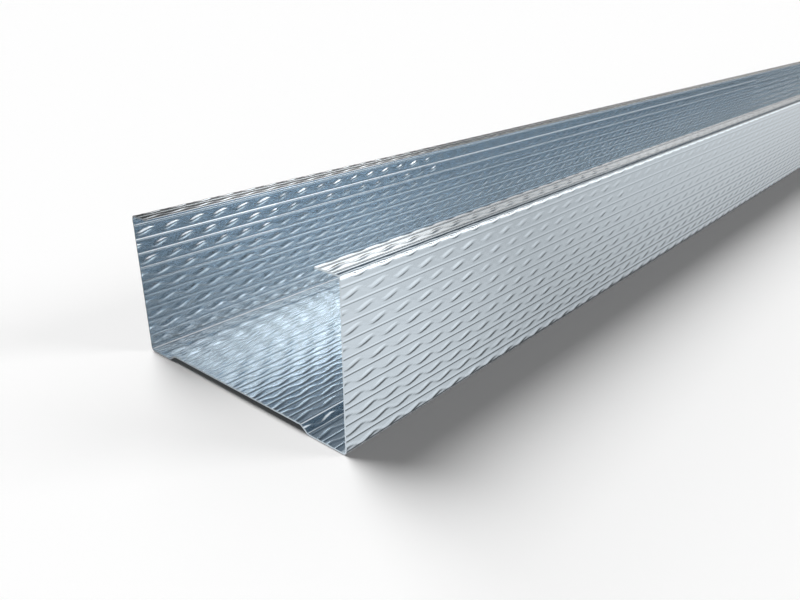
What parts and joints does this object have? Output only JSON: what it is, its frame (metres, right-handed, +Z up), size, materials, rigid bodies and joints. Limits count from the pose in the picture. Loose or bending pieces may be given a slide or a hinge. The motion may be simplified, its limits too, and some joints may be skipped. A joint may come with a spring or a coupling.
{
  "type": "drywall metal stud",
  "caption": "Roll-formed C-section wall stud with returned lips and a pressed-up web, knurled galvanised strip, for screwing wallboard to.",
  "frame": {"origin": "under the middle of the web, half way along the stud, on the surface it lies on", "axes": "+X across the web towards the long flange, +Y along the stud, +Z up from the web through the open side"},
  "size_m": [0.092, 2.4, 0.05],
  "materials": {
    "galvanised_steel": "hot-dip galvanised, bright, knurled all over"
  },
  "bodies": {
    "root": {"stud": "galvanised_steel"}
  },
  "joints": []
}
